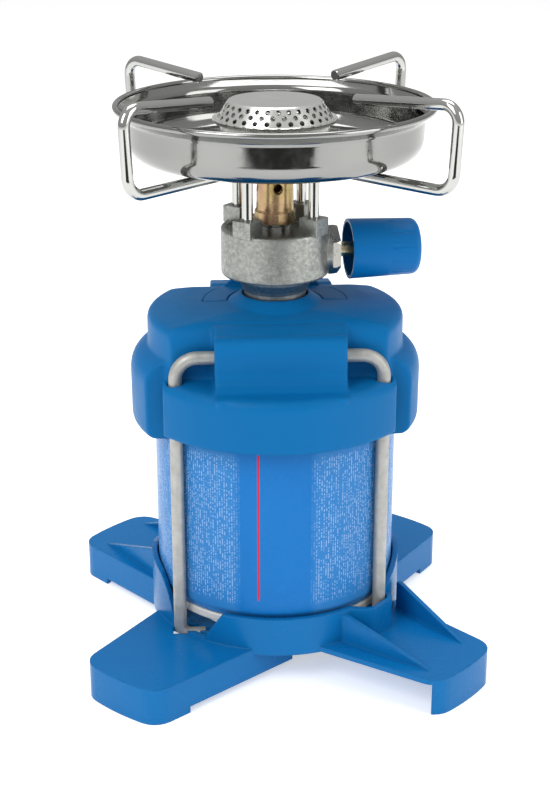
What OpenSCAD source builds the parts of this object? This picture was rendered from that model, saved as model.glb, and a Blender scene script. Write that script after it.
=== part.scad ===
// Single burner camping stove clamped on a pierceable gas cartridge.
// Millimetres, +Z up, the floor is z = 0 and the cartridge axis is the Z axis.
// The front of the stove faces -Y and the control knob points to +X.

/* [Cartridge] */
// Outer radius of the cartridge body
can_r = 45; // [42:0.5:48]
// Height of the lower edge of the cartridge seam
can_bottom = 21; // [19:0.5:24]
// Height of the flat centre of the cartridge top
can_top = 109.3; // [100:0.1:114]
// Wall thickness of the cartridge
can_wall = 0.6; // [0.4:0.1:1.2]

/* [Foot base] */
// Radius of the end arc of the legs
leg_reach = 91.2; // [75:0.2:105]
// Radius of the end arc of the legs with the notches
notched_reach = 88; // [75:0.2:105]
// Turn of the legs against the stirrups
leg_turn = 1.9; // [-4:0.1:4]
// Height of the top face of the legs
leg_h = 14; // [11:0.5:18]
// Half width of a leg at the axis
leg_half = 29.2; // [20:0.1:34]
// Loss of half width per millimetre of length
leg_taper = 0.13; // [0:0.01:0.16]
// Wall thickness of the moulding
base_wall = 2; // [1.6:0.1:3]
// Height of the ring wall at the front and back
ring_top = 26.4; // [22:0.2:30]
// Height of the ring wall at the left and right
ear_top = 34.2; // [28:0.2:40]

/* [Stirrups] */
// Diameter of the stirrup wire
stirrup_d = 4.8; // [3.5:0.1:6]
// Half distance between the two legs of a stirrup
stirrup_x = 37.1; // [34:0.1:40]
// Distance of the stirrup plane from the axis
stirrup_y = 30.2; // [28:0.1:33]
// Height of the crossbar centre
crossbar_z = 121.7; // [118:0.1:126]

/* [Cap] */
// Radius of the upper drum
drum_r = 47; // [45:0.2:50]
// Height of the drum edge
drum_top = 130.6; // [126:0.2:134]
// Outer radius of the side lobes
lobe_r = 53.5; // [50:0.1:56]
// Outer radius of the front and rear flanges
flange_r = 52.6; // [50:0.1:56]
// Wall thickness of the cap
cap_wall = 2.2; // [1.6:0.1:3]

/* [Head] */
// Angle of the screwed down head about the axis
head_rest = 6.5; // [-20:0.5:20]
// Radius of the valve body
body_r = 19.65; // [17:0.05:23]
// Height of the bottom of the valve body
body_bottom = 144; // [142.5:0.1:148]
// Height of the rim of the valve body
body_top = 161.5; // [158:0.1:164]
// Major radius of the neck thread
neck_r = 11.35; // [10:0.05:13]
// Running clearance of the neck in the threaded insert
neck_gap = 0.08; // [0.03:0.01:0.1]
// Distance of the pan support posts from the axis
post_r = 16.8; // [15.5:0.1:17.2]

/* [Valve] */
// Height of the spindle axis
spindle_z = 151.4; // [150:0.1:154]
// Radius of the spindle
spindle_r = 2.7; // [2:0.1:3.5]
// Running clearance of the spindle
spindle_gap = 0.06; // [0.03:0.01:0.1]
// Radius of the open mouth of the knob
knob_r = 11; // [9:0.1:13]
// Length of the knob
knob_len = 26; // [18:0.5:32]

/* [Pan supports] */
// Diameter of the pan support wire
rod_d = 4; // [3:0.1:5]
// Distance of the uprights from the axis, anticlockwise from the back right
rod_reach = [75.2, 72.2, 74.8, 77.8]; // [68:0.2:84]
// Height of the lower arm centre
rod_low = 185; // [182:0.1:188]
// Height of the outer upper corner
rod_high = 213.9; // [208:0.1:220]
// Height of the inner tip centre
tip_high = 210.6; // [206:0.1:214]
// Distance of the inner tip from the axis
tip_reach = 35; // [26:0.5:45]

/* [Burner] */
// Outer radius of the dish rim
dish_r = 57.2; // [50:0.2:62]
// Height of the dish rim
dish_top = 206.2; // [202:0.1:210]
// Sheet thickness of the dish
sheet = 0.8; // [0.6:0.1:1.2]
// Radius of the flat top of the burner cap
cap_disc_r = 16.8; // [14:0.1:19]
// Radius of the foot of the perforated skirt
skirt_r = 20.6; // [18:0.1:24]
// Flame ports in each of the three rows
ports = 30; // [20:1:36]

/* [Hidden] */
fit = 0.05;
gap = 0.3;
wr = stirrup_d / 2;
pr = rod_d / 2;
ring_out = 47.6;
ring_in = can_r + 0.6;
floor_low = leg_h - 2.3;
foot_z = leg_h - 1.4;
seat_z = can_bottom - 0.2;
leg_r = norm([stirrup_x, stirrup_y]);
leg_a = atan2(stirrup_y, stirrup_x);
flange_z = 112.5;
core_y = stirrup_y - wr - 0.5;
insert_r = 14.5;
hub_r = 17.6;
latch_r = 26.6;
dome_top = drum_top + 2.8;
hub_top = dome_top + 3.4;
dish_floor = rod_low + pr + gap;
tube_low = 163.2;
knob_x = 27.1;
$fn = 48;

// Node to show, or all of them

blue = [0.0, 0.35, 0.62];
zinc = [0.62, 0.62, 0.58];
steel = [0.78, 0.79, 0.8];
brass = [0.78, 0.62, 0.28];
black = [0.08, 0.08, 0.08];

// Points of an arc from angle a0 to a1
function arc(x, y, r, a0, a1, n = 5) =
  [for (i = [0 : n]) [x + r * cos(a0 + (a1 - a0) * i / n), y + r * sin(a0 + (a1 - a0) * i / n)]];

// A plain washer or tube about the Z axis
module ring(ri, ro, z0, z1) {
  rotate_extrude() translate([ri, z0]) square([ro - ri, z1 - z0]);
}

// Copies at 0 and 180 degrees about the axis
module twice() {
  children();
  rotate([0, 0, 180]) children();
}

// Frame of the burner head at rest
module head() {
  rotate([0, 0, head_rest]) children();
}

// Frame of the knob: local Z runs out along the spindle
module along_spindle() {
  head() translate([0, 0, spindle_z]) rotate([0, 90, 0]) children();
}

// ---------- foot base ----------

// Distance along a leg of the centre of its rounded corners
function corner_u(reach) =
  let (k = leg_half - 8 * norm([1, leg_taper]), m = leg_taper * leg_taper + 1, q = reach - 8)
  (leg_taper * k + sqrt(leg_taper * leg_taper * k * k - m * (k * k - q * q))) / m;

// Outline of one leg in plan, along +X, with rounded end corners
module leg_plan(reach, s = 0) {
  u = corner_u(reach);
  v = leg_half - leg_taper * u - 8 * norm([1, leg_taper]);
  side = 90 - atan(leg_taper);
  end = atan2(v, u);
  w = s * norm([1, leg_taper]);
  half = concat(
    [for (i = [0 : 5]) (reach - s) * [cos(end * i / 6), sin(end * i / 6)]],
    arc(u, v, 8 - s, end, side, 5),
    [[20 + s, leg_half - (20 + s) * leg_taper - w]]
  );
  polygon(concat(half, [for (i = [len(half) - 1 : -1 : 1]) [half[i][0], -half[i][1]]]));
}

// One leg along +X: a plate on skirts that touch the floor near the end only
module leg(reach, open_side = false) {
  difference() {
    linear_extrude(leg_h) leg_plan(reach);
    translate([0, 0, -1]) linear_extrude(leg_h + 1 - base_wall) leg_plan(reach, base_wall);
    // raised lower edge between ring and end pad
    translate([0, -40, -1]) cube([reach - 17, 80, 1 + 2.4]);
    if (open_side)
      translate([0, -40, -1]) cube([reach - 4.5, 40 - 14, leg_h + 1 - base_wall]);
  }
}

// Low triangular rib from the ring wall down to a leg
module gusset(v0, v1, reach) {
  a = atan2(v1 - v0, reach - 44);
  translate([44, v0, 0]) rotate([0, 0, a]) rotate([90, 0, 0])
    translate([0, 0, -0.9]) linear_extrude(1.8)
      polygon([[1, leg_h - 1], [1, ring_top - 1.6], [3.2, ring_top - 1.6],
               [(reach - 44), leg_h + 0.2], [(reach - 44) + 1.5, leg_h - 1]]);
}

// Plan of the pocket that wraps round a stirrup leg
module pocket_plan(grow = 0) {
  hull() {
    translate([stirrup_x, -stirrup_y]) circle(r = 3.1 + grow);
    rotate(-47.5) translate([leg_r + 0.2, 0]) circle(r = 3.1 + grow);
    rotate(-leg_a) translate([42, 0]) circle(r = 3.1 + grow);
    rotate(-58) translate([ring_in - 1 - 0.5, 0]) circle(r = 0.6 + grow);
  }
}

// Side view of the raised ear of the ring wall, in Y and Z
module ear_profile() {
  polygon([[46, ring_top - 4], [33, ring_top - 0.6], [27, 27.2], [20, 29.8], [13, 32.4],
           [6, 33.8], [0, ear_top], [-6, 34], [-12, 33.2], [-18, 31.6], [-22, 29.4],
           [-26, 26], [-30, 20], [-46, 18]]);
}

// Opening in the ring wall at a notched stirrup leg, cut along the radius
module notch_cut() {
  rotate([0, 0, -131]) translate([38, 0, 0]) rotate([90, 0, 90]) linear_extrude(20)
    polygon([[-11.6, leg_h + 1.1], [3.6, leg_h + 1.1], [11.2, ring_top], [12.2, ring_top + 12],
             [-27, ring_top + 12], [-22, 32.2], [-18.6, 29.4], [-16, 26], [-13.8, 21.4],
             [-12.4, 17]]);
}

// Void left inside the pocket for the stirrup leg
module pocket_void() {
  translate([0, 0, leg_h]) linear_extrude(30) pocket_plan();
}

module foot_base() {
  color(blue) difference() {
    union() {
      ring(ring_in, ring_out, floor_low, ring_top);
      ring(34, ring_out - 0.5, floor_low, leg_h);
      // seat of the cartridge seam
      ring(41, 44.4, leg_h - 0.5, seat_z);
      twice() {
        intersection() {
          ring(ring_in, ring_out, floor_low, ear_top);
          rotate([90, 0, 90]) translate([0, 0, -60]) linear_extrude(60) ear_profile();
        }
        rotate([0, 0, leg_turn - 135]) leg(notched_reach);
        rotate([0, 0, leg_turn - 45]) {
          leg(leg_reach, open_side = true);
          gusset(20, 12, 81);
          gusset(-14.6, -11.8, 82);
        }
        difference() {
          translate([0, 0, floor_low]) linear_extrude(ring_top - 0.3 - floor_low) pocket_plan(2);
          cylinder(r = ring_in, h = 60);
        }
      }
    }
    // room for the cartridge and for the wire feet
    translate([0, 0, seat_z]) cylinder(r = ring_in, h = 40);
    translate([0, 0, -1]) cylinder(r = 34, h = 60);
    translate([0, 0, leg_h]) ring(44.4, ring_in, 0, 20);
    twice() {
      pocket_void();
      notch_cut();
      // slots for the turned-in feet
      for (x = [-stirrup_x - wr - gap, stirrup_x + wr + gap - 14])
        translate([x, -stirrup_y - wr - gap, foot_z - wr - gap]) cube([14, 2 * (wr + gap), 12]);
      translate([-stirrup_x, -stirrup_y, leg_h]) cylinder(r = wr + 0.5, h = 30);
    }
  }
}

// ---------- stirrups ----------

// Half of a stirrup on the +X side: leg, turned-in foot and bend into the crossbar
module stirrup_half() {
  bend = 4.4;
  top_bend = 8;
  translate([0, -stirrup_y, 0]) rotate([90, 0, 0]) {
    translate([stirrup_x, foot_z + bend, 0]) rotate([-90, 0, 0])
      cylinder(r = wr, h = crossbar_z - top_bend - foot_z - bend);
    translate([stirrup_x - bend, foot_z + bend, 0]) rotate([0, 0, -90])
      rotate_extrude(angle = 90) translate([bend, 0]) circle(r = wr, $fn = 32);
    translate([stirrup_x - 9.5, foot_z, 0]) rotate([0, 90, 0]) cylinder(r = wr, h = 9.5 - bend);
    translate([stirrup_x - top_bend, crossbar_z - top_bend, 0])
      rotate_extrude(angle = 90) translate([top_bend, 0]) circle(r = wr, $fn = 32);
    translate([0, crossbar_z, 0]) rotate([0, 90, 0]) cylinder(r = wr, h = stirrup_x - top_bend);
  }
}

module stirrup() {
  stirrup_half();
  mirror([1, 0, 0]) stirrup_half();
}

module front_stirrup() {
  color(zinc) stirrup();
}

module rear_stirrup() {
  color(zinc) rotate([0, 0, 180]) stirrup();
}

// ---------- cap ----------

// Half section of the domed drum, shrunk by s
module drum_section(s = 0) {
  polygon(concat(
    [[0, 80], [drum_r - s, 80]],
    arc(drum_r - 3, drum_top - 2.6 - s * 0.4, 3 - s * 0.9, 0, 74, 5),
    [[36, drum_top + 1.7 - s], [26.5, dome_top - 0.35 - s], [18.2, dome_top - s], [0, dome_top - s]]
  ));
}

// Front to back profile of the drum in Y and Z, shrunk by s
module core_profile(s = 0) {
  w = core_y - s;
  polygon(concat(
    [[w, 80]], arc(w - 7, dome_top - 8 - s, 7, 0, 80, 6), [[0, dome_top + 2 - s]],
    arc(-w + 7, dome_top - 8 - s, 7, 100, 180, 6), [[-w, 80]]
  ));
}

// Shape of the drum between the two stirrup planes, from height z up
module core(s, z) {
  intersection() {
    rotate_extrude($fn = 96) drum_section(s);
    rotate([90, 0, 90]) translate([0, 0, -60]) linear_extrude(120) core_profile(s);
    translate([-60, -60, z]) cube([120, 120, 80]);
  }
}

// Half section of a side lobe, shrunk by s
module lobe_section(s = 0) {
  polygon(concat(
    [[40, 88.6]], arc(lobe_r - 3.7, 92.2, 3.6 - s, -90, 0, 4), [[lobe_r - s, 108]],
    arc(lobe_r - 9, 109.5 - s * 0.5, 9 - s, 0, 78, 6),
    [[40, 121.3 - s]]
  ));
}

module lobes(s) {
  intersection() {
    rotate_extrude($fn = 96) lobe_section(s);
    translate([-60, -24 + s, 80 - 1]) cube([120, 48 - 2 * s, 60]);
  }
}

// Half section of a flange, shrunk by s
module flange_section(s = 0) {
  polygon(concat(
    [[29, flange_z - s], [29, flange_z - 8], [ring_in, flange_z - 8], [ring_in, 93], [flange_r - s, 93]],
    arc(flange_r - 3.2, flange_z - 3.2, 3.2 - s, 0, 90, 5)
  ));
}

// Front tongue over the crossbar, a profile in Y and Z run along X
module tongue_profile() {
  polygon(concat(
    [[-20, dome_top - 3.5], [-26, dome_top - 1.2], [-30, drum_top + 0.9]],
    [for (p = arc(-34.9, drum_top - 3.6, 3.8, 75, 180, 5)) p],
    [[-38.7, 118.5], [-40.2, 114.8], [-43.5, 112.6], [-48, flange_z - 0.4], [-48, flange_z - 2], [-20, flange_z - 2]]
  ));
}

module front_half() {
  intersection() {
    difference() {
      rotate_extrude($fn = 96) flange_section();
      // room for the stirrup legs behind the flange wall
      ring(ring_in - 1, flange_r - cap_wall, 80, flange_z - cap_wall);
    }
    translate([-41.5, -60, 80]) cube([83, 60 - core_y + 1, 60]);
  }
  rotate([90, 0, 90]) translate([0, 0, -23.2]) linear_extrude(46.4) tongue_profile();
}

// Half round recess in the back of the top that holds the latch piece
module latch_plan(r) {
  difference() {
    intersection() {
      circle(r = r, $fn = 96);
      translate([-40, r == latch_r ? 0 : fit]) square([80, 40]);
    }
    circle(r = r == latch_r ? hub_r : hub_r + fit);
  }
}

module top_cap() {
  color(blue) difference() {
    union() {
      difference() {
        union() {
          core(0, 88.4);
          lobes(0);
        }
        core(cap_wall, 60);
        lobes(cap_wall);
        translate([0, 0, 60]) cylinder(r = ring_in - 0.2, h = 103 - 60);
      }
      twice() front_half();
      // hub that rises as a cone to the neck
      rotate_extrude($fn = 96) polygon([[12, 112.2], [hub_r, 112.2], [hub_r, dome_top - 0.4], [12.2, hub_top],
        [12, hub_top]]);
      // ribs that carry the hub and press on the cartridge shoulder
      intersection() {
        for (a = [0 : 45 : 135]) rotate([0, 0, a]) translate([-44, -0.9, 108]) cube([88, 1.8, 30]);
        core(0.5, 60);
      }
    }
    // bore for the threaded insert and its flange
    translate([0, 0, 60]) cylinder(r = insert_r + fit, h = dome_top - 1.45 - 60);
    translate([0, 0, 60]) cylinder(r = neck_r + 0.4, h = 100);
    translate([0, 0, 60]) cylinder(r = insert_r + 1.75, h = 52.2);
    // clearance over the domed cartridge
    rotate_extrude($fn = 96) polygon([[0, 60], [ring_in - 0.2, 60], [ring_in - 0.2, 101],
      [43, 103.6], [36, 107], [24, 109.2], [0, 110]]);
    twice() {
      // crossbar channel through the tongue
      translate([-45, -stirrup_y - wr - 0.3, crossbar_z - wr - 0.25])
        cube([90, 2 * wr + 0.6, 2 * wr + 0.55]);
      for (x = [-stirrup_x, stirrup_x]) translate([x, -stirrup_y, 100]) cylinder(r = wr + 0.4, h = 24);
    }
    translate([0, 0, dome_top - 1.6]) linear_extrude(10) latch_plan(latch_r);
  }
}

// Half round latch piece with a raised lug at the back
module rear_latch() {
  color(blue) union() {
    intersection() {
      translate([0, 0, dome_top - 1.55]) linear_extrude(5) latch_plan(latch_r - 0.3);
      rotate_extrude($fn = 96) drum_section(0);
    }
    intersection() {
      translate([0, 0, dome_top - 1.55]) linear_extrude(7) latch_plan(latch_r - 0.3);
      translate([-22, 19.4, 0]) rotate([90, 0, 90]) linear_extrude(44)
        polygon([[0, 120], [9, 120], [9, dome_top + 3], [7.6, dome_top + 4.4], [4, dome_top + 4.9],
                 [1.4, dome_top + 4.2], [0, dome_top + 1.6]]);
      // rounded flanks of the lug
      translate([0, 60, 117.2]) rotate([90, 0, 0]) cylinder(r = 24, h = 60, $fn = 96);
    }
  }
}

module threaded_insert() {
  color(brass) rotate_extrude() difference() {
    union() {
      translate([neck_r + neck_gap, 112]) square([insert_r - neck_r - neck_gap, dome_top - 1.5 - 112]);
      translate([neck_r + neck_gap, 111]) square([insert_r + 1.6 - neck_r - neck_gap, 1.1]);
    }
    for (i = [0 : 8])
      translate([neck_r + neck_gap, 116 + 1.75 * i]) polygon([[-0.01, -0.6], [0.55, 0], [-0.01, 0.6]]);
  }
}

// ---------- cartridge ----------

module cartridge_shell() {
  color(blue) rotate_extrude($fn = 128) difference() {
    polygon(concat(
      [[0, can_bottom + 3.4], [43.3, can_bottom + 3.4], [43.9, can_bottom + 5], [can_r, can_bottom + 7]],
      arc(can_r - 6, 98.4, 6, 0, 62, 6),
      [[33, 106.4], [22, 108.4], [12, can_top], [1.5, can_top], [1.5, 90], [0, 90]]
    ));
    polygon(concat(
      [[0, can_bottom + 2], [43.3 - can_wall, can_bottom + 2], [43.3 - can_wall, can_bottom + 5], [can_r - can_wall, can_bottom + 7.2]],
      arc(can_r - 6, 98.4, 6 - can_wall, 0, 62, 6),
      [[33, 106.4 - can_wall], [22, 108.4 - can_wall], [12, can_top - can_wall], [0, can_top - can_wall]]
    ));
  }
}

module cartridge_base() {
  color(steel) rotate_extrude($fn = 128) polygon([
    [0, can_bottom + 7.4], [22, can_bottom + 6.2], [36, can_bottom + 3], [41.6, can_bottom + 0.5],
    [42.2, can_bottom], [43.6, can_bottom], [44, can_bottom + 0.5], [44, can_bottom + 2.6],
    [43.7, can_bottom + 3.2], [41.2, can_bottom + 3.2], [36, can_bottom + 3.8], [22, can_bottom + 7], [0, can_bottom + 8.2]
  ]);
}

// ---------- head ----------

module nose_gasket() {
  color(black) ring(3, 8.6, can_top + 0.1, 112.3);
}

// Square boss for a pan support post
module boss() {
  translate([post_r - 3.75, -3.75, 155]) cube([7.5, 7.5, 11.7]);
}

module valve_body() {
  color(zinc) head() difference() {
    union() {
      rotate_extrude() difference() {
        polygon(concat(
          [[0, 112.5], [neck_r - 0.9, 112.5], [neck_r, 113.6], [neck_r, 138], [11.9, 138.1], [12.2, 139.2],
           [13.9, 142], [14.05, 143], [14.05, body_bottom], [body_r - 1, body_bottom]],
          arc(body_r - 1, body_bottom + 1, 1, -90, 0, 3),
          arc(body_r - 1.1, body_top - 1.1, 1.1, 0, 180, 6),
          [[body_r - 2.2, body_top - 1.4], [0, body_top - 1.4]]
        ));
        for (i = [0 : 11])
          translate([neck_r, 116 + 1.75 * i]) polygon([[0.01, -0.6], [-0.55, 0], [0.01, 0.6]]);
      }
      for (a = [45 : 90 : 315]) rotate([0, 0, a]) intersection() {
        boss();
        union() {
          translate([0, 0, 160.6]) cylinder(r = 40, h = 20);
          cylinder(r = body_r - 0.5, h = 200);
        }
      }
      // seat of the gland nut
      translate([body_r - 6, 0, spindle_z]) rotate([0, 90, 0]) cylinder(r = 8.6, h = 6.2, $fn = 64);
    }
    for (a = [45 : 90 : 315]) rotate([0, 0, a]) translate([post_r, 0, 160]) cylinder(r = pr + fit, h = 20);
    // gas path: needle bore, inclined bore, seat, chamber, jet
    translate([0, 0, 112]) cylinder(r = 1.75, h = 12);
    translate([0, 0, 121]) rotate([0, -8.4, 0]) cylinder(r = 1.1, h = 31);
    translate([-5, 0, spindle_z]) rotate([0, 90, 0]) cylinder(r = 1.1, h = 5);
    translate([-1, 0, spindle_z]) rotate([0, 90, 0]) cylinder(r = spindle_r + 0.2, h = 10.2);
    translate([9, 0, spindle_z]) rotate([0, 90, 0]) cylinder(r = 4.5, h = 5);
    translate([13, 0, spindle_z]) rotate([0, 90, 0]) cylinder(r = 6 + fit, h = 20);
    translate([0, 0, spindle_z]) cylinder(r = 1, h = 12);
    translate([0, 0, 157.5]) cylinder(r = 5.5 + fit, h = 10);
  }
}

module piercing_needle() {
  color(steel) rotate_extrude() polygon([[0.5, 103.6], [0.6, 103.6], [1.25, 106], [1.25, 112.4],
    [1.7, 112.6], [1.7, 119.8], [0.5, 119.8]]);
}

module gas_filter() {
  color(brass) ring(0.3, 1.7, 119.95, 122);
}

module jet_holder() {
  color(steel) rotate_extrude() polygon([[1.1, 157.6], [5.5, 157.6], [5.5, 161.9], [4.9, 162.1], [4.9, 168],
    [2.5, 168], [2.5, 164], [1.1, 164]]);
}

module injector_jet() {
  color(brass) union() {
    rotate_extrude() polygon([[0.3, 164.2], [2.45, 164.2], [2.45, 168.15], [0.3, 168.15]]);
    difference() {
      translate([0, 0, 168.1]) cylinder(r = 3.3, h = 2.2, $fn = 6);
      translate([0, 0, 160]) cylinder(r = 0.3, h = 20);
    }
    rotate_extrude() polygon([[0.3, 170.2], [1.9, 170.2], [1.3, 172], [0.3, 172]]);
  }
}

module burner_tube() {
  color(brass) head() difference() {
    union() {
      rotate_extrude() polygon([[0, tube_low + 4], [6.9, tube_low + 4], [6.9, tube_low + 4.4],
        [6.75, tube_low + 4.6], [6.5, dish_floor - 1.2], [9.4, dish_floor - 1.2], [9.4, dish_floor - 0.15],
        [6.3, dish_floor - 0.15], [6.3, 195], [0, 195]]);
      translate([0, 0, tube_low]) cylinder(r = 7.5, h = 4.01, $fn = 12);
    }
    rotate_extrude() polygon([[0, 160], [4.95, 160], [4.95, 173], [4, 179], [5.3, 196], [0, 196]]);
    for (a = [0 : 90 : 270]) rotate([0, 0, a]) {
      translate([0, 0, 176]) rotate([90, 0, 0]) cylinder(r = 1.5, h = 12);
      translate([0, -6.1, 176]) rotate([90, 0, 0]) cylinder(r1 = 1.5, r2 = 2.1, h = 0.7);
    }
  }
}

module dish_washer() {
  color(steel) ring(6.35, 9.2, dish_floor + sheet + 0.05, dish_floor + sheet + 1.05);
}

module dish() {
  z = dish_floor;
  color(steel) rotate_extrude($fn = 128) polygon(concat(
    [[6.45, z]], arc(dish_r - 11.5, z + 7, 7, -90, 0, 6),
    [[dish_r - 4.2, dish_top - 5.6]], arc(dish_r - 2.2, dish_top - 5.6, 2, 180, 112, 3),
    arc(dish_r - 1.1, dish_top - 1.1, 1.1, -70, 200, 8),
    arc(dish_r - 2.1, dish_top - 5.4, 2.9, 120, 180, 3),
    [[dish_r - 5, dish_top - 6], [dish_r - 5.3, z + 7]],
    arc(dish_r - 11.5, z + 7, 7 - sheet, 0, -90, 6), [[6.45, z + sheet]]
  ));
}

module burner_base() {
  z = dish_floor + sheet + 1.1;
  color(steel) rotate_extrude($fn = 96) polygon([[6.35, z], [16, z], [19.4, z + 3], [19.4, 199.3], [21.8, 199.3],
    [21.8, 199.9], [18.8, 199.9], [18.8, z + 3.3], [15.7, z + 0.6], [8.2, z + 0.6], [8.2, 194.6], [6.35, 194.6]]);
}

module burner_gauze() {
  color(steel) rotate_extrude($fn = 96) polygon([[15.2, dish_floor + sheet + 1.75], [15.6, dish_floor + sheet + 1.75],
    [16.5, 205.3], [16.1, 205.3]]);
}

module burner_cap() {
  top = 206.8;
  color(steel) head() difference() {
    rotate_extrude($fn = 96) polygon([[0, top], [cap_disc_r - 0.5, top], [cap_disc_r, top - 0.4], [skirt_r, 200.6],
      [22.2, 200.5], [22.2, 200], [skirt_r - 0.3, 200], [cap_disc_r - 0.55, top - 0.7], [0, top - 0.6]]);
    for (row = [0 : 2], i = [0 : ports - 1])
      rotate([0, 0, (i + row / 2) * 360 / ports]) translate([17.5 + 1.18 * row, 0, 205.2 - 1.8 * row])
        rotate([0, 90 - 33, 0]) translate([0, 0, -2]) cylinder(r = 0.9, h = 4, $fn = 24);
  }
}

// ---------- pan supports ----------

// One wire: post in the valve body, arm under the dish, upright and upper arm.
// The wire lies in a vertical plane that is turned about its post.
module pan_support(i) {
  swing = 45 - head_rest;
  px = post_r * cos(45);
  side = post_r * sin(45 - swing);
  reach = sqrt(rod_reach[i] * rod_reach[i] - side * side) - post_r * cos(45 - swing);
  tip = sqrt(tip_reach * tip_reach - side * side) - post_r * cos(45 - swing);
  lean = 3;
  slope = atan2(rod_high - tip_high, reach - tip);
  b = 4;
  c = 6.4;
  lower = reach - (rod_high - rod_low) * tan(lean);
  up = [sin(lean), cos(lean)];
  color(steel) head() rotate([0, 0, 90 * i]) translate([px, px, 0]) rotate([0, 0, swing]) rotate([90, 0, 0]) {
    // local X runs outwards and local Y runs up
    wire_run([0, 160.5], [0, rod_low - b]);
    translate([b, rod_low - b, 0]) rotate([0, 0, 90]) rotate_extrude(angle = 90) translate([b, 0]) circle(r = pr, $fn = 32);
    wire_run([b, rod_low], [lower - c, rod_low]);
    wire_bend([lower, rod_low], 0, 90 - lean, c);
    wire_run([lower, rod_low] + c * up, [reach, rod_high] - c * up);
    wire_bend([reach, rod_high], 90 - lean, 180 + slope, c);
    wire_run([reach, rod_high] - c * [cos(slope), sin(slope)], [tip, tip_high]);
  }
}

// Straight wire between two points of the wire plane, let into the bends at its ends
module wire_run(p, q) {
  d = q - p;
  translate([p[0], p[1], 0]) rotate([0, 0, atan2(d[1], d[0])]) rotate([0, 90, 0])
    translate([0, 0, -0.25]) cylinder(r = pr - 0.02, h = norm(d) + 0.5);
}

// Bend at corner p from heading a0 to heading a1, counter-clockwise, tangent length about t
module wire_bend(p, a0, a1, t) {
  r = t / tan((a1 - a0) / 2);
  s = p - t * [cos(a0), sin(a0)];
  o = s + r * [-sin(a0), cos(a0)];
  translate([o[0], o[1], 0]) rotate([0, 0, a0 - 90]) rotate_extrude(angle = a1 - a0)
    translate([r, 0]) circle(r = pr, $fn = 32);
}

// ---------- valve ----------

module gland_nut() {
  x = body_r + 0.2;
  color(zinc) along_spindle() difference() {
    union() {
      translate([0, 0, 13.2]) cylinder(r = 6, h = x - 13);
      translate([0, 0, x + 0.05]) intersection() {
        rotate([0, 0, 0]) cylinder(r = 9.3, h = 3, $fn = 6);
        cylinder(r1 = 9.6, r2 = 8.9, h = 3);
      }
    }
    cylinder(r = spindle_r + spindle_gap, h = 60);
  }
}

module spindle_o_ring() {
  color(black) along_spindle() ring(spindle_r - 0.55, 4.2, 9.4, 11);
}

module valve_spindle() {
  color(brass) along_spindle() rotate_extrude() polygon([[0, -0.9], [0.7, -0.9], [spindle_r, 2.4], [spindle_r, 9.2],
    [spindle_r - 0.6, 9.3], [spindle_r - 0.6, 11.1], [spindle_r, 11.2], [spindle_r, 45.9], [1.3, 45.9], [1.3, 38], [0, 38]]);
}

module control_knob() {
  color(blue) along_spindle() difference() {
    union() {
      difference() {
        rotate_extrude() polygon(concat(
          [[0, knob_x], [knob_r, knob_x], [knob_r - 0.66, knob_x + knob_len - 4]],
          arc(knob_r - 3.4, knob_x + knob_len - 3, 2.7, 0, 82, 5), [[0, knob_x + knob_len]]
        ));
        translate([0, 0, knob_x - 1]) cylinder(r1 = knob_r - 1.1, r2 = knob_r - 2.2, h = knob_len - 2.4);
      }
      translate([0, 0, knob_x + 4]) cylinder(r = 4.6, h = knob_len - 7);
      for (a = [0 : 45 : 135]) rotate([0, 0, a])
        translate([-knob_r + 1.15, -0.6, knob_x + 8]) cube([2 * knob_r - 2.3, 1.2, knob_len - 11]);
    }
    translate([0, 0, knob_x - 1]) cylinder(r = spindle_r + fit, h = 47 - knob_x);
    translate([0, 0, knob_x]) cylinder(r = 1.45, h = 40);
    translate([0, 0, knob_x + knob_len - 2.4]) cylinder(r = 3.2, h = 4);
    // finger flutes near the outer end
    for (a = [15 : 30 : 345]) rotate([0, 0, a]) translate([knob_r + 1.2, 0, knob_x + knob_len * 0.55])
      cylinder(r = 1.95, h = knob_len);
  }
}

module knob_screw() {
  z = knob_x + knob_len - 2.35;
  color(steel) along_spindle() difference() {
    union() {
      translate([0, 0, 40]) cylinder(r = 1.25, h = z - 40 + 0.1);
      translate([0, 0, z]) cylinder(r = 2.9, h = 1.6);
    }
    translate([-4, -0.35, z + 0.8]) cube([8, 0.7, 2]);
  }
}

// ---------- nodes ----------

foot_base();
front_stirrup();
rear_stirrup();
top_cap();
rear_latch();
threaded_insert();
cartridge_shell();
cartridge_base();
nose_gasket();
valve_body();
piercing_needle();
gas_filter();
jet_holder();
injector_jet();
burner_tube();
dish_washer();
dish();
burner_base();
burner_gauze();
burner_cap();
pan_support(0);  // pan_support_1
pan_support(1);  // pan_support_2
pan_support(2);  // pan_support_3
pan_support(3);  // pan_support_4
gland_nut();
spindle_o_ring();
valve_spindle();
control_knob();
knob_screw();
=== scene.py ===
"""Looks of the camping stove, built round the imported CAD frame. Metres, +Z up, the front faces -Y."""

import math

import bmesh
import bpy
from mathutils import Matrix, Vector


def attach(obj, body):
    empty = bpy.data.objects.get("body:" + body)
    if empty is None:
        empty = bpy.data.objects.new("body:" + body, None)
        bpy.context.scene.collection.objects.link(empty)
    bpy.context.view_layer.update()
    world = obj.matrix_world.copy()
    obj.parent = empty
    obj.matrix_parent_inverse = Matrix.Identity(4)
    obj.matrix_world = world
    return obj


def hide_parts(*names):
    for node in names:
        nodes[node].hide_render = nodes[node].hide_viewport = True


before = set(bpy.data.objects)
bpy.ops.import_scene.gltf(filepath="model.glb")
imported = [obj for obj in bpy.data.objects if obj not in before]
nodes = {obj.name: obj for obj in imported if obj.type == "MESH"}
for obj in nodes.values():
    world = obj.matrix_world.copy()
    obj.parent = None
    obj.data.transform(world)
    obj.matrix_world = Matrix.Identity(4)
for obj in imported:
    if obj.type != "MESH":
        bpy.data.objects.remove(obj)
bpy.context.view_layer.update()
MM = 0.001
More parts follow.
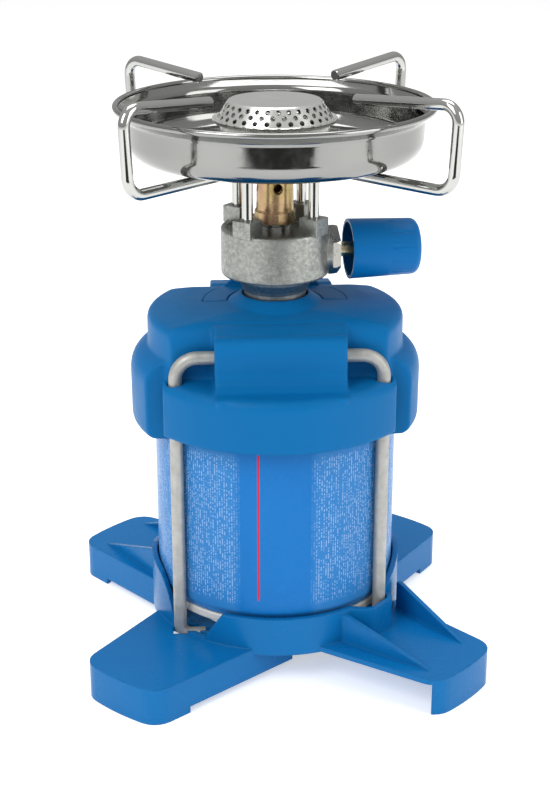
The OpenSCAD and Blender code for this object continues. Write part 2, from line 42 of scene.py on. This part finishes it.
# turn of the head about the axis at rest
HEAD_TURN = math.radians(6.5)
# distance of each pan support's upright from the axis, in millimetres
ROD_REACH = (75.2, 72.2, 74.8, 77.8)


# ---------- mesh helpers ----------

def new_object(name, verts, faces, sharp=32.0):
    """A mesh object from points in millimetres, smooth but for edges sharper than the limit."""
    mesh = bpy.data.meshes.new(name)
    mesh.from_pydata([Vector(v) * MM for v in verts], [], faces)
    bm = bmesh.new()
    bm.from_mesh(mesh)
    bmesh.ops.remove_doubles(bm, verts=bm.verts, dist=1e-7)
    bmesh.ops.recalc_face_normals(bm, faces=bm.faces)
    shade(bm, sharp)
    bm.to_mesh(mesh)
    bm.free()
    obj = bpy.data.objects.new(name, mesh)
    bpy.context.scene.collection.objects.link(obj)
    return obj


def shade(bm, sharp):
    limit = math.radians(sharp)
    for face in bm.faces:
        face.smooth = True
    for edge in bm.edges:
        if len(edge.link_faces) == 2:
            edge.smooth = edge.calc_face_angle(0.0) < limit


def turn(points, angle=HEAD_TURN):
    c = math.cos(angle)
    s = math.sin(angle)
    return [(x * c - y * s, x * s + y * c, z) for x, y, z in points]


def arc(cx, cy, r, a0, a1, n=8):
    """Points of an arc, angles in degrees."""
    steps = [math.radians(a0 + (a1 - a0) * i / n) for i in range(n + 1)]
    return [(cx + r * math.cos(a), cy + r * math.sin(a)) for a in steps]


def lathe(name, profile, segments=192, sharp=32.0):
    """A closed outline of (radius, height) turned round the Z axis."""
    verts = []
    faces = []
    count = len(profile)
    for i in range(segments):
        a = 2 * math.pi * i / segments
        verts += [(r * math.cos(a), r * math.sin(a), z) for r, z in profile]
    for i in range(segments):
        j = (i + 1) % segments
        for k in range(count):
            m = (k + 1) % count
            faces.append((i * count + k, j * count + k, j * count + m, i * count + m))
    return new_object(name, verts, faces, sharp)


def tube(name, path, radius, sides=32, chamfer=0.35):
    """A round wire along a path of points, with chamfered cut ends."""
    path = [Vector(p) for p in path]
    first = (path[1] - path[0]).normalized()
    last = (path[-1] - path[-2]).normalized()
    rings = [(path[0], radius - chamfer), (path[0] + first * chamfer, radius)]
    rings += [(p, radius) for p in path[1:-1]]
    rings += [(path[-1] - last * chamfer, radius), (path[-1], radius - chamfer)]
    verts = []
    faces = []
    side = first.orthogonal().normalized()
    centres = [c for c, _ in rings]
    for i, (centre, r) in enumerate(rings):
        a = centres[max(i - 1, 0)]
        b = centres[min(i + 1, len(rings) - 1)]
        along = (b - a).normalized()
        side = (side - along * side.dot(along)).normalized()
        up = along.cross(side)
        for k in range(sides):
            t = 2 * math.pi * k / sides
            verts.append(centre + (side * math.cos(t) + up * math.sin(t)) * r)
    for i in range(len(rings) - 1):
        for k in range(sides):
            m = (k + 1) % sides
            faces.append((i * sides + k, i * sides + m, (i + 1) * sides + m, (i + 1) * sides + k))
    faces.append(tuple(range(sides - 1, -1, -1)))
    faces.append(tuple((len(rings) - 1) * sides + k for k in range(sides)))
    return new_object(name, verts, faces)


def rounded_copy(name, node, voxel, passes):
    """A copy of a CAD node with its edges and inner corners softened like a moulding."""
    copy = nodes[node].copy()
    copy.data = nodes[node].data.copy()
    copy.name = name
    copy.data.name = name
    for key in list(copy.keys()):
        if key.startswith("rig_"):
            del copy[key]
    copy.parent = None
    bpy.context.scene.collection.objects.link(copy)
    remesh = copy.modifiers.new("voxels", "REMESH")
    remesh.mode = "VOXEL"
    remesh.voxel_size = voxel * MM
    remesh.use_smooth_shade = True
    smooth = copy.modifiers.new("soften", "SMOOTH")
    smooth.factor = 0.5
    smooth.iterations = passes
    graph = bpy.context.evaluated_depsgraph_get()
    mesh = bpy.data.meshes.new_from_object(copy.evaluated_get(graph))
    copy.modifiers.clear()
    copy.data = mesh
    return copy


# ---------- material helpers ----------

class Finish:
    """A Principled material with short ways to add its nodes."""

    def __init__(self, name, **inputs):
        self.material = bpy.data.materials.new(name)
        self.material.use_nodes = True
        self.tree = self.material.node_tree
        self.shader = self.tree.nodes["Principled BSDF"]
        self.where = self.node("ShaderNodeTexCoord").outputs["Object"]
        for key, value in inputs.items():
            self.shader.inputs[key.replace("_", " ")].default_value = value

    def node(self, kind, **settings):
        made = self.tree.nodes.new(kind)
        for key, value in settings.items():
            setattr(made, key, value)
        return made

    def link(self, source, target):
        if isinstance(source, (int, float, tuple)):
            target.default_value = source
        else:
            self.tree.links.new(source, target)

    def noise(self, scale, detail=3.0, rough=0.5, where=None):
        made = self.node("ShaderNodeTexNoise")
        made.inputs["Scale"].default_value = scale
        made.inputs["Detail"].default_value = detail
        made.inputs["Roughness"].default_value = rough
        self.link(where or self.where, made.inputs["Vector"])
        return made.outputs["Fac"]

    def cells(self, scale, feature="F1"):
        made = self.node("ShaderNodeTexVoronoi", feature=feature)
        made.inputs["Scale"].default_value = scale
        self.link(self.where, made.inputs["Vector"])
        return made.outputs["Distance"]

    def stretched(self, sx, sy, sz):
        made = self.node("ShaderNodeMapping")
        made.inputs["Scale"].default_value = (sx, sy, sz)
        self.link(self.where, made.inputs["Vector"])
        return made.outputs["Vector"]

    def maths(self, operation, a, b=0.0, c=0.0):
        made = self.node("ShaderNodeMath", operation=operation)
        for i, value in enumerate((a, b, c)):
            self.link(value, made.inputs[i])
        return made.outputs[0]

    def fit(self, value, low, high, to_low, to_high):
        made = self.node("ShaderNodeMapRange")
        for i, v in enumerate((value, low, high, to_low, to_high)):
            self.link(v, made.inputs[i])
        return made.outputs[0]

    def ramp(self, value, *stops):
        made = self.node("ShaderNodeValToRGB")
        while len(made.color_ramp.elements) < len(stops):
            made.color_ramp.elements.new(0.5)
        for element, (place, colour) in zip(made.color_ramp.elements, stops):
            element.position = place
            element.color = (*colour, 1.0)
        self.link(value, made.inputs[0])
        return made.outputs[0]

    def mix(self, share, a, b, blend="MIX"):
        made = self.node("ShaderNodeMix", data_type="RGBA", blend_type=blend)
        self.link(share, made.inputs["Factor"])
        for value, socket in ((a, made.inputs[6]), (b, made.inputs[7])):
            self.link((*value, 1.0) if isinstance(value, tuple) and len(value) == 3 else value, socket)
        return made.outputs[2]

    def round_edges(self, radius):
        made = self.node("ShaderNodeBevel", samples=4)
        made.inputs["Radius"].default_value = radius * MM
        return made.outputs["Normal"]

    def edge_wear_and_highlight_mask(self, radius):
        """1 on edges and 0 on flats; used for real rubbed wear on the zinc and for a painted edge highlight
        on the plastic.
        """
        bevel = self.round_edges(radius)
        plain = self.node("ShaderNodeNewGeometry").outputs["Normal"]
        dot = self.node("ShaderNodeVectorMath", operation="DOT_PRODUCT")
        self.link(bevel, dot.inputs[0])
        self.link(plain, dot.inputs[1])
        return self.fit(dot.outputs["Value"], 0.99, 0.8, 0.0, 1.0)

    def bump(self, height, distance, strength=1.0, normal=None):
        made = self.node("ShaderNodeBump")
        made.inputs["Strength"].default_value = strength
        made.inputs["Distance"].default_value = distance * MM
        self.link(height, made.inputs["Height"])
        if normal is not None:
            self.link(normal, made.inputs["Normal"])
        return made.outputs["Normal"]

    def done(self, colour=None, roughness=None, normal=None, metallic=None):
        for value, key in ((colour, "Base Color"), (roughness, "Roughness"), (normal, "Normal"),
                           (metallic, "Metallic")):
            if value is not None:
                self.link(value, self.shader.inputs[key])
        return self.material


def moulded_plastic(name, colour, low, high, edge, specular=0.5):
    """Moulded plastic: faint flow marks, fine grain, and slightly paler edges, which are a painted edge
    highlight.
    """
    f = Finish(name, Specular_IOR_Level=specular)
    dark = tuple(c * 0.93 for c in colour)
    pale = tuple(c * 1.06 + 0.004 for c in colour)
    flow = f.noise(14.0, 3.0, 0.55)
    tone = f.mix(flow, dark, pale)
    speck = f.fit(f.noise(900.0, 2.0), 0.66, 0.8, 0.0, 0.12)
    tone = f.mix(speck, tone, tuple(c * 0.7 + 0.02 for c in colour))
    # painted edge highlight: every edge of the plastic is mixed towards a paler blue
    edge_highlight_colour = tuple(min(1.0, c * 1.25 + 0.02) for c in colour)
    tone = f.mix(f.maths("MULTIPLY", f.edge_wear_and_highlight_mask(edge), 0.35), tone, edge_highlight_colour)
    rough = f.fit(f.noise(45.0, 5.0, 0.65), 0.3, 0.7, low, high)
    grain = f.bump(f.noise(2600.0, 2.0), 0.012, 0.35, f.round_edges(edge))
    soft = f.bump(f.noise(60.0, 2.0), 0.05, 0.25, grain)
    return f.done(tone, rough, soft)


def galvanised():
    """Zinc coated wire: dull, mottled, with fine drawing lines."""
    f = Finish("galvanised_wire", Metallic=0.55, Specular_IOR_Level=0.5)
    mottle = f.noise(260.0, 4.0, 0.6)
    tone = f.ramp(mottle, (0.25, (0.31, 0.31, 0.285)), (0.55, (0.41, 0.41, 0.385)),
                  (0.8, (0.50, 0.50, 0.475)))
    spangle = f.fit(f.cells(420.0), 0.0, 0.6, 0.0, 0.25)
    tone = f.mix(spangle, tone, (0.54, 0.54, 0.52))
    rough = f.fit(f.noise(320.0, 3.0), 0.3, 0.7, 0.38, 0.58)
    lines = f.noise(900.0, 2.0, 0.5, f.stretched(1.0, 1.0, 0.06))
    return f.done(tone, rough, f.bump(lines, 0.03, 0.5))


def die_casting():
    """Tumbled zinc die-casting: a fine pebbled skin with brighter rubbed edges."""
    f = Finish("tumbled_zinc", Metallic=0.92)
    grain = f.noise(700.0, 5.0, 0.7)
    patch = f.noise(90.0, 3.0, 0.6)
    tone = f.ramp(grain, (0.3, (0.18, 0.19, 0.175)), (0.52, (0.30, 0.31, 0.29)),
                  (0.75, (0.47, 0.48, 0.45)))
    tone = f.mix(f.fit(patch, 0.35, 0.7, 0.0, 0.45), tone, (0.32, 0.33, 0.31))
    tone = f.mix(f.maths("MULTIPLY", f.edge_wear_and_highlight_mask(0.5), 0.6), tone, (0.68, 0.69, 0.66))
    rough = f.fit(grain, 0.3, 0.7, 0.46, 0.28)
    pebble = f.bump(grain, 0.09, 0.55, f.round_edges(0.45))
    dents = f.bump(f.cells(520.0, "SMOOTH_F1"), 0.06, 0.35, pebble)
    return f.done(tone, rough, dents)


def turned(name, colour, low, high, pitch=2200.0, axis="Z", metallic=1.0):
    """Metal turned on a lathe: fine rings along its axis and slight colour drift."""
    f = Finish(name, Metallic=metallic)
    scale = {"Z": (0.05, 0.05, 1.0), "X": (1.0, 0.05, 0.05)}[axis]
    rings = f.noise(pitch, 2.0, 0.5, f.stretched(*scale))
    dark = tuple(c * 0.85 for c in colour)
    pale = tuple(min(1.0, c * 1.12) for c in colour)
    tone = f.mix(f.noise(120.0, 3.0), dark, pale)
    rough = f.fit(f.noise(300.0, 3.0), 0.3, 0.7, low, high)
    return f.done(tone, rough, f.bump(rings, 0.02, 0.5, f.round_edges(0.2)))


def yellow_passivated():
    """Yellow passivated steel: gold going to rose and olive in soft bands."""
    f = Finish("yellow_passivated", Metallic=1.0)
    drift = f.noise(70.0, 3.0, 0.5, f.stretched(1.0, 1.0, 0.6))
    tone = f.ramp(drift, (0.3, (0.34, 0.26, 0.10)), (0.45, (0.46, 0.33, 0.17)), (0.56, (0.46, 0.28, 0.18)),
                  (0.7, (0.33, 0.30, 0.13)))
    rings = f.noise(2600.0, 2.0, 0.5, f.stretched(0.05, 0.05, 1.0))
    rough = f.fit(f.noise(260.0, 3.0), 0.3, 0.7, 0.2, 0.34)
    return f.done(tone, rough, f.bump(rings, 0.02, 0.4, f.round_edges(0.25)))


def bright_plating(name, low, high, ripple, shine=1.0):
    """Bright nickel on pressed sheet: mirror-like, with slow waves and faint handling marks."""
    f = Finish(name, Metallic=1.0)
    dull = tuple(c * shine for c in (0.74, 0.745, 0.715))
    clean = tuple(c * shine for c in (0.86, 0.865, 0.835))
    tone = f.mix(f.noise(40.0, 3.0), dull, clean)
    haze = f.fit(f.noise(150.0, 5.0, 0.7), 0.4, 0.7, 0.0, 1.0)
    rough = f.fit(haze, 0.0, 1.0, low, high)
    waves = f.bump(f.noise(28.0, 2.0, 0.4), ripple, 0.5)
    fine = f.bump(f.noise(1500.0, 2.0), 0.004, 0.4, waves)
    return f.done(tone, rough, fine)


def lacquer():
    """Pale lacquer on the seamed bottom of the cartridge."""
    f = Finish("pale_lacquer", Metallic=0.1, Coat_Weight=0.3, Coat_Roughness=0.2)
    tone = f.mix(f.noise(180.0, 4.0, 0.6), (0.60, 0.58, 0.52), (0.74, 0.73, 0.68))
    rough = f.fit(f.noise(240.0, 3.0), 0.3, 0.7, 0.28, 0.42)
    return f.done(tone, rough, f.bump(f.noise(400.0, 3.0), 0.02, 0.4))


def rubber():
    f = Finish("seal_rubber")
    tone = f.mix(f.noise(400.0, 3.0), (0.018, 0.018, 0.018), (0.035, 0.035, 0.034))
    rough = f.fit(f.noise(500.0, 3.0), 0.3, 0.7, 0.55, 0.75)
    return f.done(tone, rough, f.bump(f.noise(1500.0, 3.0), 0.02, 0.5))


def label():
    """Printed lacquer of the cartridge: blue panels by angle, with fine unreadable rows and a red line."""
    f = Finish("printed_lacquer", Metallic=0.0, Coat_Weight=0.05, Coat_Roughness=0.15, Specular_IOR_Level=0.1)
    split = f.node("ShaderNodeSeparateXYZ")
    f.link(f.where, split.inputs[0])
    x, y, z = split.outputs
    # degrees from the front, positive to the right
    angle = f.maths("MULTIPLY", f.maths("ARCTAN2", x, f.maths("MULTIPLY", y, -1.0)), 180 / math.pi)

    def between(value, low, high, soft):
        up = f.fit(value, low - soft, low + soft, 0.0, 1.0)
        down = f.fit(value, high - soft, high + soft, 1.0, 0.0)
        return f.maths("MULTIPLY", up, down)

    base = f.mix(f.noise(30.0, 3.0), (0.006, 0.15, 0.46), (0.010, 0.17, 0.50))
    # paler print of the two text panels, which fades towards the sides
    half_turn = f.maths("MODULO", f.maths("ADD", angle, 363.0), 180.0)
    folded = f.maths("ABSOLUTE", f.maths("SUBTRACT", half_turn, 90.0))
    panel = f.fit(folded, 74.0, 70.0, 0.0, 1.0)
    tone = f.mix(f.maths("MULTIPLY", panel, 0.45), base, (0.06, 0.25, 0.55))
    # rows that run up the cartridge, cut into uneven dashes
    row = f.maths("FRACT", f.maths("DIVIDE", angle, 1.2))
    number = f.maths("FLOOR", f.maths("DIVIDE", angle, 1.2))
    line = between(row, 0.28, 0.74, 0.06)
    place = f.node("ShaderNodeCombineXYZ")
    f.link(f.maths("MULTIPLY", z, 1150.0), place.inputs[0])
    f.link(f.maths("MULTIPLY", number, 7.31), place.inputs[1])
    strokes = f.noise(1.0, 1.0, 0.5, place.outputs[0])
    strokes = f.fit(strokes, 0.47, 0.53, 0.0, 1.0)
    words = f.node("ShaderNodeCombineXYZ")
    f.link(f.maths("MULTIPLY", z, 130.0), words.inputs[0])
    f.link(f.maths("MULTIPLY", number, 3.77), words.inputs[1])
    gaps = f.fit(f.noise(1.0, 1.0, 0.5, words.outputs[0]), 0.38, 0.42, 0.0, 1.0)
    height = between(z, 0.031, 0.088, 0.001)
    print_mask = f.maths("MULTIPLY", f.maths("MULTIPLY", line, strokes), f.maths("MULTIPLY", gaps, panel))
    print_mask = f.maths("MULTIPLY", print_mask, height)
    tone = f.mix(f.maths("MULTIPLY", print_mask, 0.5), tone, (0.42, 0.58, 0.80))
    # plain red line between the panels, front and back
    half = f.maths("MODULO", f.maths("ADD", angle, 375.5), 180.0)
    red = f.maths("MULTIPLY", between(half, 4.2, 5.2, 0.15), between(z, 0.033, 0.090, 0.0006))
    tone = f.mix(red, tone, (0.62, 0.02, 0.06))
    rough = f.fit(f.noise(120.0, 4.0, 0.6), 0.3, 0.7, 0.2, 0.32)
    press = f.bump(f.noise(700.0, 2.0), 0.012, 0.3)
    return f.done(tone, rough, f.bump(print_mask, 0.01, 0.4, press))


# ---------- camera, light and floor ----------

def make_camera():
    data = bpy.data.cameras.new("camera")
    data.lens = 72.95
    data.sensor_width = 36.0
    data.clip_start = 0.02
    camera = bpy.data.objects.new("camera", data)
    camera.location = (-0.0324, -0.5687, 0.3095)
    camera.rotation_euler = (math.radians(69.27), 0.0, math.radians(-3.26))
    bpy.context.scene.collection.objects.link(camera)
    bpy.context.scene.camera = camera


def make_light(name, place, target, size, power, colour=(1.0, 1.0, 1.0)):
    data = bpy.data.lights.new(name, "AREA")
    data.shape = "RECTANGLE"
    data.size = size[0]
    data.size_y = size[1]
    data.energy = power
    data.color = colour
    light = bpy.data.objects.new(name, data)
    light.location = place
    light.rotation_euler = (Vector(target) - Vector(place)).to_track_quat("-Z", "Y").to_euler()
    bpy.context.scene.collection.objects.link(light)


def make_dark_card():
    """A black card lying in front of the stove, seen only as a dark band in the bright metal."""
    corners = [(-260, -1100, 1), (260, -1100, 1), (260, -430, 1), (-260, -430, 1)]
    card = new_object("dark_card", corners, [(0, 1, 2, 3)])
    f = Finish("black_card", Roughness=0.9)
    card.data.materials.append(f.done(f.mix(f.noise(8.0), (0.012, 0.012, 0.012), (0.02, 0.02, 0.02))))
    card.visible_camera = False
    card.visible_shadow = False


def make_studio():
    world = bpy.data.worlds.new("studio")
    world.use_nodes = True
    tree = world.node_tree
    # a little dimmer at the horizon than overhead
    split = tree.nodes.new("ShaderNodeSeparateXYZ")
    height = tree.nodes.new("ShaderNodeMapRange")
    for i, value in enumerate((-0.02, 0.9, 0.42, 0.6)):
        height.inputs[i + 1].default_value = value
    tree.links.new(tree.nodes.new("ShaderNodeTexCoord").outputs["Generated"], split.inputs[0])
    tree.links.new(split.outputs[2], height.inputs[0])
    tree.links.new(height.outputs[0], tree.nodes["Background"].inputs["Strength"])
    tree.nodes["Background"].inputs["Color"].default_value = (1.0, 1.0, 1.0, 1.0)
    bpy.context.scene.world = world
    floor = new_object("floor", [(-3000, -3000, 0), (3000, -3000, 0), (3000, 3000, 0), (-3000, 3000, 0)],
                       [(0, 1, 2, 3)])
    f = Finish("floor_paper", Roughness=0.85, Emission_Color=(1.0, 1.0, 1.0, 1.0), Emission_Strength=0.42)
    floor.data.materials.append(f.done(f.mix(f.noise(6.0), (0.90, 0.90, 0.90), (0.93, 0.93, 0.93))))
    make_light("key", (-0.75, -0.75, 0.95), (0, 0, 0.12), (0.7, 0.9), 9.0)
    make_light("fill", (0.95, -0.55, 0.55), (0, 0, 0.12), (0.6, 0.9), 4.5)
    make_light("top", (0.0, 0.25, 1.3), (0, 0, 0.1), (0.9, 0.7), 7.0)
    make_dark_card()


# ---------- pieces ----------

def dress(node, material):
    data = nodes[node].data
    data.materials.clear()
    data.materials.append(material)


def stand_in(obj, node, body, material):
    obj.data.materials.clear()
    obj.data.materials.append(material)
    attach(obj, body)
    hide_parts(node)
    return obj


def dish_piece():
    z = 187.3
    top = 206.1
    sheet = 0.8
    outer = arc(45.7, z + 7, 7, -90, 0, 14)
    inner = arc(45.7, z + 7, 7 - sheet, 0, -90, 14)
    wall = [(53, top - 5.6)] + arc(55, top - 5.6, 2, 180, 112, 6)
    rim = arc(56.1, top - 1.1, 1.1, -70, 200, 16)
    back = arc(55.1, top - 5.4, 2.9, 120, 180, 6) + [(52.2, top - 6)]
    bottom = [(6.45, z)] + [(r, z) for r in (12, 20, 30, 40)]
    inside = [(r, z + sheet) for r in (40, 30, 20, 12, 6.45)]
    return lathe("dish_bowl", bottom + outer + wall + rim + back + inner + inside, 320, 50)


def wire_path(index):
    """Centre line of one pan support, in millimetres."""
    swing = 45 - 6.5
    post = 16.8
    side = post * math.sin(math.radians(45 - swing))
    inset = post * math.cos(math.radians(45 - swing))
    reach = math.sqrt(ROD_REACH[index] ** 2 - side ** 2) - inset
    tip = math.sqrt(35.0 ** 2 - side ** 2) - inset
    low, high, tip_high, lean, b, c = 185.0, 213.9, 210.6, 3.0, 4.0, 6.4
    lower = reach - (high - low) * math.tan(math.radians(lean))
    slope = math.degrees(math.atan2(high - tip_high, reach - tip))
    flat = [(0, 160.4), (0, low - b)] + arc(b, low - b, b, 180, 90, 8)[1:]
    for px, py, a0, a1 in ((lower, low, 0, 90 - lean), (reach, high, 90 - lean, 180 + slope)):
        r = c / math.tan(math.radians((a1 - a0) / 2))
        ra = math.radians(a0)
        ox = px - c * math.cos(ra) - r * math.sin(ra)
        oy = py - c * math.sin(ra) + r * math.cos(ra)
        flat += arc(ox, oy, r, a0 - 90, a1 - 90, 14)
    flat.append((tip - 0.2, tip_high))
    t = math.radians(swing)
    corner = post * math.cos(math.pi / 4)
    points = [(corner + u * math.cos(t), corner + u * math.sin(t), v) for u, v in flat]
    return turn(points, HEAD_TURN + math.radians(90 * index))


def stirrup_path(sign):
    """Centre line of a stirrup wire on the side of the given sign of Y."""
    x, foot, top, bend, big = 37.1, 12.6, 121.7, 4.4, 8.0
    half = [(x - 9.5, foot)] + arc(x - bend, foot + bend, bend, -90, 0, 8)
    half += arc(x - big, top - big, big, 0, 90, 12)
    flat = half + [(-u, v) for u, v in reversed(half)]
    return [(u, sign * 30.2, v) for u, v in flat]


def cartridge_piece():
    low = 21.0
    outer = [(38, low + 3.45), (43.3, low + 3.45), (43.6, low + 4.2), (43.95, low + 5), (44.6, low + 6)]
    outer += [(45, low + 7.2)]
    outer += [(45, h) for h in (40, 55, 70, 85)] + arc(39, 98.4, 6, 0, 62, 12)
    outer += [(33, 106.4), (22, 108.4), (12, 109.3), (1.5, 109.3), (1.5, 108.7)]
    inner = [(12, 108.7), (22, 107.8), (33, 105.8), (38, 103.8), (44.3, 97), (44.3, low + 7.4)]
    inner += [(42.6, low + 4.2), (38, low + 4.2)]
    return lathe("cartridge_can", outer + inner, 256, 40)


def build():
    cap_blue = moulded_plastic("cap_plastic_blue", (0.0, 0.135, 0.37), 0.36, 0.5, 1.0, 0.1)
    base_blue = moulded_plastic("base_plastic_blue", (0.0, 0.140, 0.39), 0.2, 0.32, 1.0, 0.15)
    knob_blue = moulded_plastic("knob_plastic_blue", (0.0, 0.140, 0.41), 0.3, 0.42, 0.4, 0.12)
    wire = galvanised()
    zinc = die_casting()
    steel = turned("turned_steel", (0.66, 0.655, 0.64), 0.22, 0.34)
    gland = turned("gland_steel", (0.60, 0.585, 0.54), 0.24, 0.38, axis="X")
    brass = turned("turned_brass", (0.72, 0.53, 0.24), 0.2, 0.34)
    spindle = turned("spindle_brass", (0.70, 0.60, 0.36), 0.2, 0.34, axis="X")
    bright = bright_plating("bright_dish", 0.08, 0.2, 0.35, 0.36)
    burner = bright_plating("bright_burner", 0.16, 0.28, 0.1)
    rod = bright_plating("bright_rod", 0.05, 0.12, 0.05, 0.62)

    dress("foot_base", base_blue)
    cap = rounded_copy("cap_moulding", "top_cap", 0.5, 10)
    stand_in(cap, "top_cap", "stand", cap_blue)
    dress("rear_latch", cap_blue)
    dress("threaded_insert", brass)
    dress("cartridge_base", lacquer())
    dress("nose_gasket", rubber())
    dress("valve_body", zinc)
    dress("piercing_needle", steel)
    dress("gas_filter", brass)
    dress("jet_holder", steel)
    dress("injector_jet", brass)
    dress("burner_tube", yellow_passivated())
    dress("dish_washer", steel)
    dress("burner_base", burner)
    dress("burner_gauze", steel)
    dress("burner_cap", burner)
    dress("gland_nut", gland)
    dress("spindle_o_ring", rubber())
    dress("valve_spindle", spindle)
    dress("control_knob", knob_blue)
    dress("knob_screw", steel)

    stand_in(dish_piece(), "dish", "head", bright)
    stand_in(cartridge_piece(), "cartridge_shell", "stand", label())
    for i in range(4):
        path = wire_path(i)
        stand_in(tube(f"pan_rod_{i + 1}", path, 1.99), f"pan_support_{i + 1}", "head", rod)
    for sign, node in ((-1, "front_stirrup"), (1, "rear_stirrup")):
        stand_in(tube(node + "_wire", stirrup_path(sign), 2.39), node, "stand", wire)


make_camera()
make_studio()
build()
bpy.context.scene.view_settings.view_transform = "Standard"
